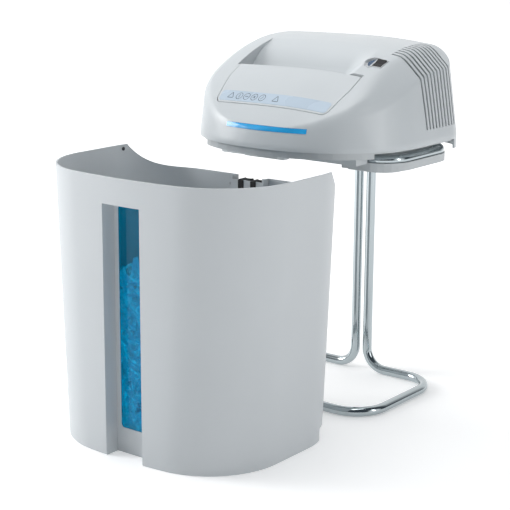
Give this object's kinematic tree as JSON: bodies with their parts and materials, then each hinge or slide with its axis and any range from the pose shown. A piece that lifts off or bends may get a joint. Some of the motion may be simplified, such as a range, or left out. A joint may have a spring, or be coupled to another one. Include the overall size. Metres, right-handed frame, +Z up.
{
  "type": "paper shredder",
  "caption": "Free-standing paper shredder: a rounded cutting head on a bent tube stand, with a separate waste bin that has a tall blue window and slides in under the head.",
  "frame": {"origin": "centre of the footprint, on the floor, with the bin pulled out as pictured", "axes": "+Z up, +Y towards the back of the machine, +X to its right when seen from the front"},
  "size_m": [0.437, 0.603, 0.5975],
  "materials": {
    "chrome_tube": "polished",
    "grey_plastic": "satin, fine grain",
    "dark_plastic": "matt",
    "black_plastic": "satin",
    "silver_trim": "silver lacquer",
    "label_film": "clear film over a pale blue print",
    "blue_light": "lit from behind",
    "blue_pane": "clear blue acrylic",
    "lens": "smoked",
    "rubber": "matt",
    "steel": "machined",
    "bronze": "sintered, oiled",
    "nylon": "natural nylon",
    "board": "solder mask",
    "motor_iron": "dark lacquer",
    "winding": "lacquered copper and iron"
  },
  "bodies": {
    "stand_and_head": {"stand_tube": "chrome_tube", "support_loop": "chrome_tube", "left_cradle": "grey_plastic", "right_cradle": "grey_plastic", "cradle_screws": "steel", "base_tray": "grey_plastic", "tray_screws": "steel", "discharge_chute": "grey_plastic", "top_cover": "grey_plastic", "front_panel": "grey_plastic", "label_strip": "label_film", "light_bar": "blue_light", "light_board": "board", "switch_bezel": "silver_trim", "status_lens": "lens", "switch_body": "dark_plastic", "cord_gland": "dark_plastic", "left_side_plate": "steel", "right_side_plate": "steel", "tie_rods": "steel", "shaft_bushes": "bronze", "front_comb": "dark_plastic", "rear_comb": "dark_plastic", "front_paper_guide": "dark_plastic", "rear_paper_guide": "dark_plastic", "paper_sensor": "board", "gear_pins": "steel", "motor_case": "motor_iron", "motor_saddle": "dark_plastic", "control_board": "board", "run_capacitor": "dark_plastic", "mains_filter": "steel", "bin_sensor": "dark_plastic"},
    "bin": {"bin_shell": "grey_plastic", "window_pane": "blue_pane", "post_pads": "rubber", "pad_screws": "steel", "bin_magnet": "dark_plastic"},
    "rocker": {"rocker_switch": "black_plastic"},
    "rear_cutter_shaft": {"rear_cutter": "steel", "rear_sync_gear": "steel", "cutter_gear": "steel"},
    "front_cutter_shaft": {"front_cutter": "steel", "front_sync_gear": "steel"},
    "second_reduction": {"second_gear": "nylon"},
    "first_reduction": {"first_gear": "nylon"},
    "motor_rotor": {"motor_armature": "winding", "motor_pinion": "steel", "cooling_fan": "dark_plastic"}
  },
  "joints": [
    {"name": "bin_slide", "type": "slide", "parent": "stand_and_head", "child": "bin", "axis": [0.1277, 0.9918, 0], "range_m": [0, 0.2662]},
    {"name": "rocker_tilt", "type": "hinge", "parent": "stand_and_head", "child": "rocker", "pos_m": [0.14614, 0.13107, 0.56421], "axis": [-0.9947, -0.0369, 0.0956], "range_deg": [0, 14]},
    {"name": "rear_cutter_spin", "type": "hinge", "parent": "stand_and_head", "child": "rear_cutter_shaft", "pos_m": [0.0225, 0.11558, 0.478], "axis": [1, 0, 0], "continuous": true},
    {"name": "front_cutter_spin", "type": "hinge", "parent": "stand_and_head", "child": "front_cutter_shaft", "pos_m": [0.0225, 0.08658, 0.478], "axis": [1, 0, 0], "continuous": true},
    {"name": "second_gear_spin", "type": "hinge", "parent": "stand_and_head", "child": "second_reduction", "pos_m": [0.0225, 0.14558, 0.5005], "axis": [1, 0, 0], "continuous": true},
    {"name": "first_gear_spin", "type": "hinge", "parent": "stand_and_head", "child": "first_reduction", "pos_m": [0.0225, 0.17858, 0.48884], "axis": [1, 0, 0], "continuous": true},
    {"name": "motor_spin", "type": "hinge", "parent": "stand_and_head", "child": "motor_rotor", "pos_m": [0.0225, 0.20738, 0.48044], "axis": [1, 0, 0], "continuous": true}
  ],
  "couplings": [
    {"joint": "front_cutter_spin", "follows": "rear_cutter_spin", "ratio": -1},
    {"joint": "second_gear_spin", "follows": "rear_cutter_spin", "ratio": -3.1667},
    {"joint": "first_gear_spin", "follows": "rear_cutter_spin", "ratio": 11.611},
    {"joint": "motor_spin", "follows": "rear_cutter_spin", "ratio": -58.056}
  ]
}
